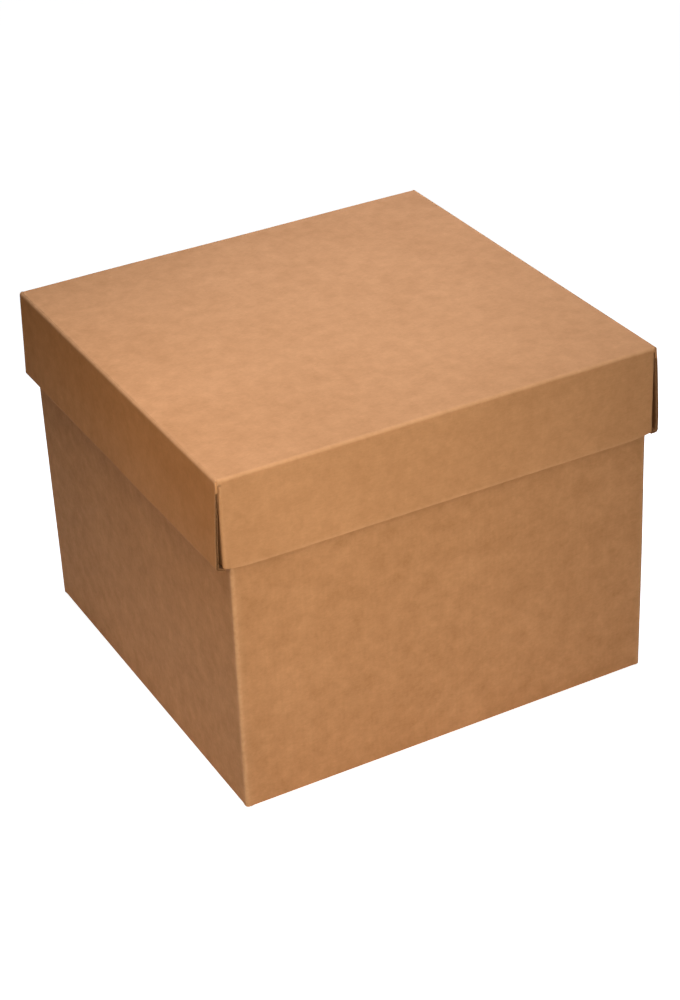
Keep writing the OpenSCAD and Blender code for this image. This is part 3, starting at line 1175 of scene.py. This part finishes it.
def make_floor():
    """A pale floor that takes the box's shadow, with a glow that is only seen."""
    stage = bpy.context.scene.kraft_stage
    bm = bmesh.new()
    bmesh.ops.create_grid(bm, x_segments=1, y_segments=1, size=FLOOR_REACH)
    for vert in bm.verts:
        vert.co.z = -FLOOR_DROP
    mesh = bpy.data.meshes.new("floor")
    bm.to_mesh(mesh)
    bm.free()
    floor = bpy.data.objects.new("floor", mesh)
    bpy.context.scene.collection.objects.link(floor)
    material, shade, surface = new_material("floor")
    shade.put(surface, Base_Color=(*stage.floor, 1), Roughness=1.0, Specular_IOR_Level=0.0)
    place = shade.add("ShaderNodeTexCoord").outputs["Object"]
    far = shade.put(shade.add("ShaderNodeVectorMath", operation="LENGTH"), i0=place).outputs["Value"]
    axes = shade.put(shade.add("ShaderNodeSeparateXYZ"), Vector=place).outputs
    past_x = shade.math("SUBTRACT", shade.math("ABSOLUTE", axes["X"]), BASE_HIGH.x)
    past_y = shade.math("SUBTRACT", shade.math("ABSOLUTE", axes["Y"]), BASE_HIGH.y)
    open_floor = shade.span(shade.math("MAXIMUM", past_x, past_y), *GLOW_EDGE, 0.0, 1.0)
    light = shade.math("MULTIPLY", shade.span(far, *GLOW_RISE, stage.glow, 1.0), open_floor)
    glow = shade.add("ShaderNodeEmission")
    shade.put(glow, Color=(1, 1, 1, 1), Strength=shade.math("MULTIPLY", shade.seen(), light))
    both_parts = shade.put(shade.add("ShaderNodeAddShader"), i0=surface.outputs[0], i1=glow.outputs[0])
    shade.put(material.node_tree.nodes["Material Output"], Surface=both_parts.outputs[0])
    mesh.materials.append(material)


def make_camera():
    """The photo's camera."""
    azimuth, height, roll = (math.radians(a) for a in CAMERA_TURN)
    flat = math.cos(height)
    back = Vector((math.sin(azimuth) * flat, -math.cos(azimuth) * flat, math.sin(height)))
    right = Vector((math.cos(azimuth), math.sin(azimuth), 0))
    up = back.cross(right)
    turned_right = right * math.cos(roll) + up * math.sin(roll)
    turned_up = up * math.cos(roll) - right * math.sin(roll)
    data = bpy.data.cameras.new("camera")
    data.sensor_width = 36
    data.lens = CAMERA_LENS
    data.clip_start, data.clip_end = 0.05, 60
    camera = bpy.data.objects.new("camera", data)
    bpy.context.scene.collection.objects.link(camera)
    turned = Matrix((turned_right, turned_up, back)).transposed().to_4x4()
    camera.matrix_world = Matrix.Translation(CAMERA_PLACE) @ turned
    bpy.context.scene.camera = camera


# Add-on


class KRAFT_OT_lid(bpy.types.Operator):
    """Make the lid's board with its rolled end walls"""

    bl_idname = "kraft.lid"
    bl_label = "Lid board"

    def execute(self, context):
        make_lid_board()
        return {"FINISHED"}


class KRAFT_OT_base(bpy.types.Operator):
    """Make the base's board with its bottom flaps"""

    bl_idname = "kraft.base"
    bl_label = "Base board"

    def execute(self, context):
        make_base_board()
        return {"FINISHED"}


class KRAFT_OT_flutes(bpy.types.Operator):
    """Make the wavy paper that shows in the cut edges"""

    bl_idname = "kraft.flutes"
    bl_label = "Fluted paper"

    def execute(self, context):
        make_flutes("lid_flutes", "lid", lid_flute_lines(), settle_lid)
        make_flutes("base_flutes", "base", base_flute_lines(), settle_base)
        return {"FINISHED"}


class KRAFT_OT_stage(bpy.types.Operator):
    """Make the floor, the lamps and the camera"""

    bl_idname = "kraft.stage"
    bl_label = "Stage"

    def execute(self, context):
        make_camera()
        make_lamps()
        make_world()
        make_floor()
        return {"FINISHED"}


class KRAFT_PT_panel(bpy.types.Panel):
    """Steps and values of the box"""

    bl_idname = "KRAFT_PT_panel"
    bl_label = "Kraft Box"
    bl_space_type = "VIEW_3D"
    bl_region_type = "UI"
    bl_category = "Kraft Box"

    def draw(self, context):
        for step in OPERATORS:
            self.layout.operator(step.bl_idname)
        for name in GROUPS:
            group = getattr(context.scene, name)
            column = self.layout.column()
            for value in group.__annotations__:
                column.prop(group, value)


OPERATORS = (KRAFT_OT_stage, KRAFT_OT_lid, KRAFT_OT_base, KRAFT_OT_flutes)
GROUPS = {"kraft_sizes": KraftSizes, "kraft_colours": KraftColours, "kraft_stage": KraftStage}


def register():
    """Adds the values, the steps and the panel to Blender."""
    for kind in (*GROUPS.values(), *OPERATORS, KRAFT_PT_panel):
        bpy.utils.register_class(kind)
    for name, kind in GROUPS.items():
        setattr(bpy.types.Scene, name, bpy.props.PointerProperty(type=kind))


def unregister():
    """Takes them away again."""
    for name in GROUPS:
        delattr(bpy.types.Scene, name)
    for kind in (KRAFT_PT_panel, *reversed(OPERATORS), *GROUPS.values()):
        bpy.utils.unregister_class(kind)


def main():
    """Makes the whole scene."""
    register()
    bpy.context.scene.view_settings.view_transform = "Standard"
    bpy.ops.kraft.stage()
    bpy.ops.kraft.lid()
    bpy.ops.kraft.base()
    bpy.ops.kraft.flutes()
    bpy.context.view_layer.update()


if __name__ == "__main__":
    main()
